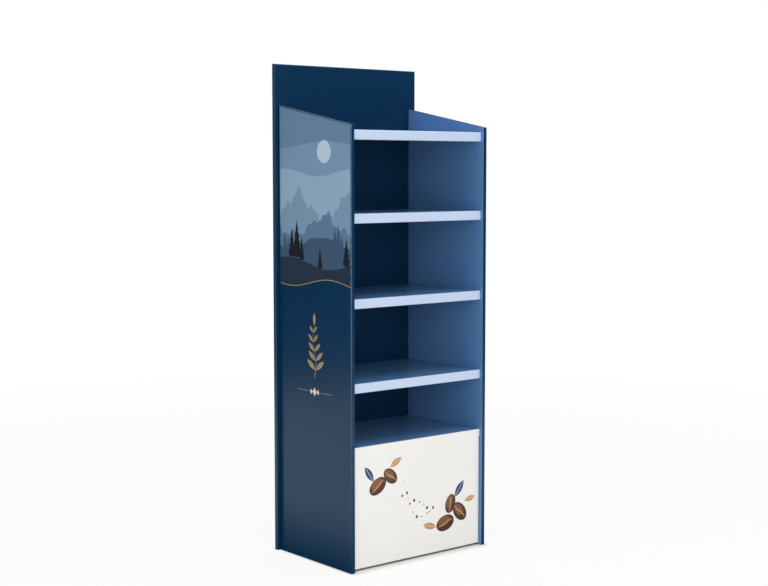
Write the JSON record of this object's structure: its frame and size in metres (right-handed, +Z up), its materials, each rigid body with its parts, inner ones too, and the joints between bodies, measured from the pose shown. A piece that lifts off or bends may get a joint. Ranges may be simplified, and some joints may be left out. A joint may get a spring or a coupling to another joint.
{
  "type": "cardboard display stand",
  "caption": "Free-standing cardboard display stand with hollow folded sides, tray shelves locked by tongues in slots, a raised header and a closed base.",
  "frame": {"origin": "on the floor, under the middle of the stand", "axes": "+Z up, the open front faces -Y, +X to the right seen from the front"},
  "size_m": [0.6, 0.4, 1.608],
  "materials": {
    "side_board": "satin",
    "back_board": "satin",
    "shelf_board": "satin",
    "kick_board": "satin",
    "plain_board": "matt"
  },
  "bodies": {
    "root": {"left_side_panel": "side_board", "right_side_panel": "side_board", "back_panel": "back_board", "top_shelf": "shelf_board", "upper_shelf": "shelf_board", "middle_shelf": "shelf_board", "lower_shelf": "shelf_board", "bottom_shelf": "shelf_board", "kick_panel": "kick_board", "base_long_rib": "plain_board", "base_left_rib": "plain_board", "base_right_rib": "plain_board"}
  },
  "joints": []
}
